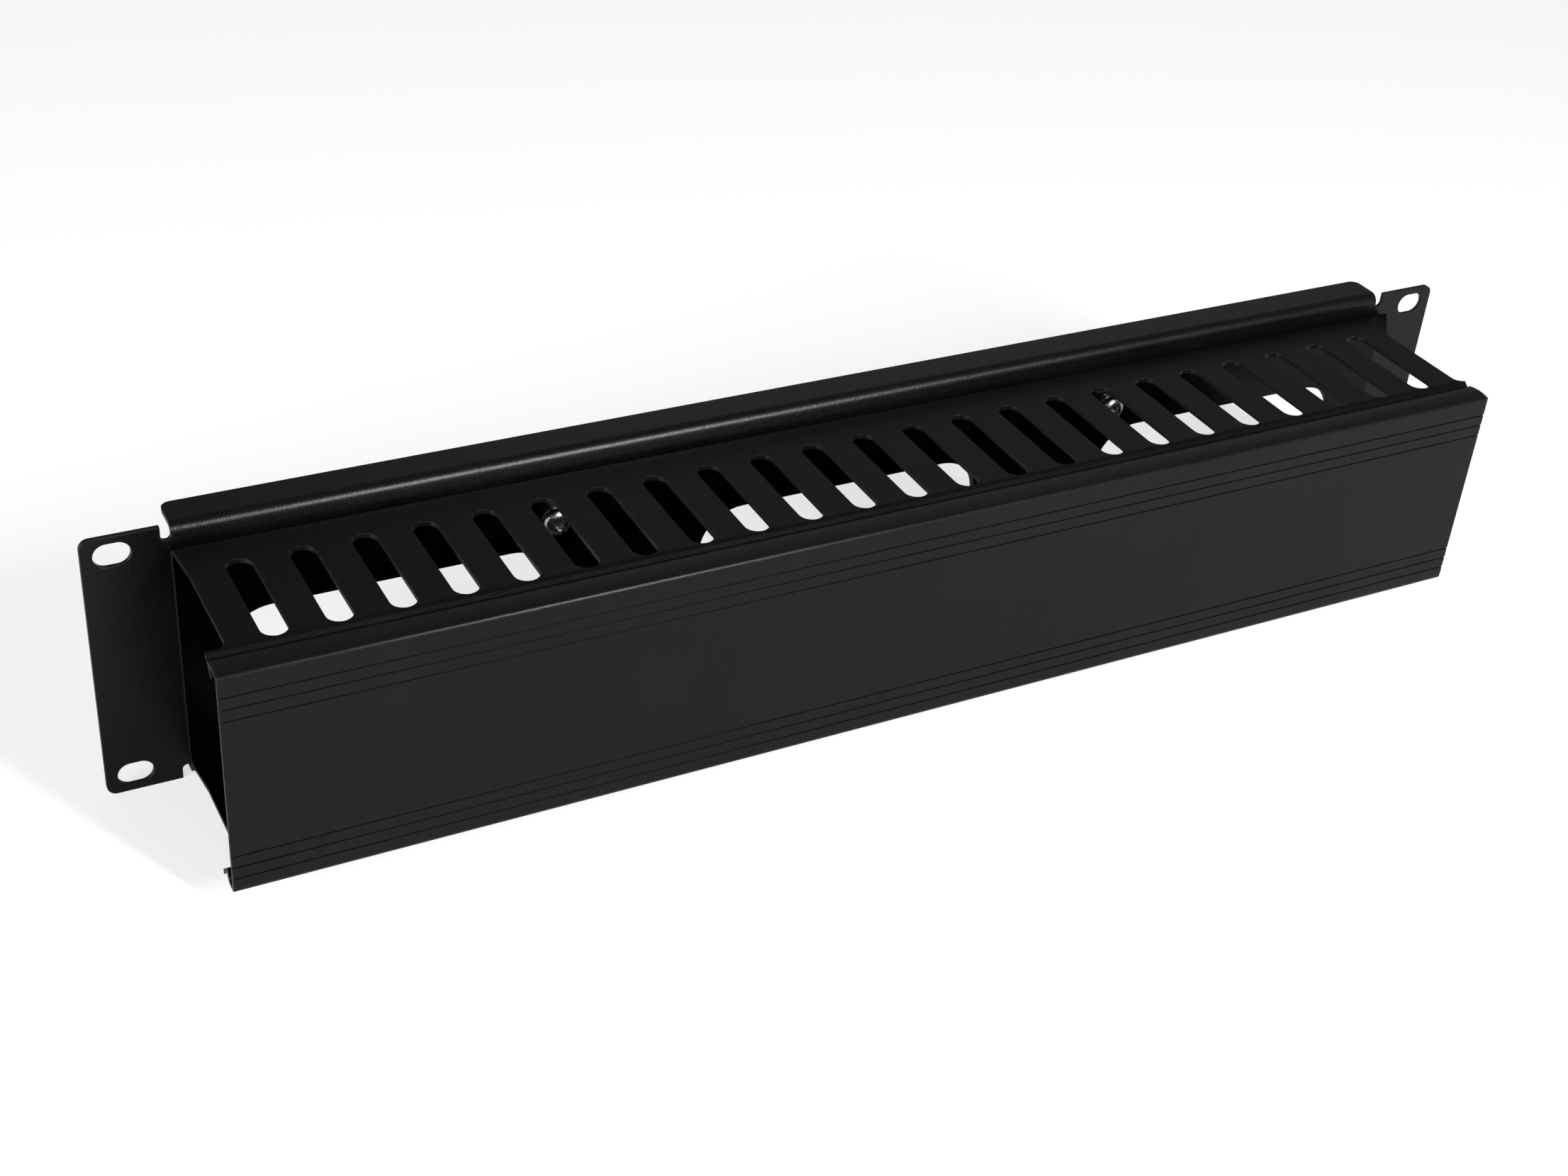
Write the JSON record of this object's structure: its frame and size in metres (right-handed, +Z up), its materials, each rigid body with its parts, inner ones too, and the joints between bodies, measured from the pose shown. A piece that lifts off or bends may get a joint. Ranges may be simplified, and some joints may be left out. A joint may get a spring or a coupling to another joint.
{
  "type": "horizontal cable manager",
  "caption": "Rack-mount horizontal cable manager: folded steel panel with a slotted duct, rear pass-through openings and a removable front cover.",
  "frame": {"origin": "centre of the four rack slots, on the panel's rear face where it meets the rack rails", "axes": "+Z up, -Y towards the front (the cover side), +X to the right seen from the front"},
  "size_m": [0.4826, 0.0774, 0.0882],
  "materials": {
    "black_powder_coat": "satin, fine texture",
    "black_satin": "satin",
    "zinc_plate": "bright zinc plate"
  },
  "bodies": {
    "duct": {"rack_panel": "black_powder_coat", "duct_channel": "black_powder_coat", "screw_upper_left": "zinc_plate", "screw_upper_right": "zinc_plate", "screw_lower_left": "zinc_plate", "screw_lower_right": "zinc_plate", "spring_washer_upper_left": "zinc_plate", "spring_washer_upper_right": "zinc_plate", "spring_washer_lower_left": "zinc_plate", "spring_washer_lower_right": "zinc_plate", "flat_washer_upper_left": "zinc_plate", "flat_washer_upper_right": "zinc_plate", "flat_washer_lower_left": "zinc_plate", "flat_washer_lower_right": "zinc_plate", "nut_upper_left": "zinc_plate", "nut_upper_right": "zinc_plate", "nut_lower_left": "zinc_plate", "nut_lower_right": "zinc_plate"},
    "cover": {"cover": "black_satin"}
  },
  "joints": [
    {"name": "cover_lift_off", "type": "slide", "parent": "duct", "child": "cover", "axis": [0, -1, 0], "range_m": [0, 0.06]}
  ]
}
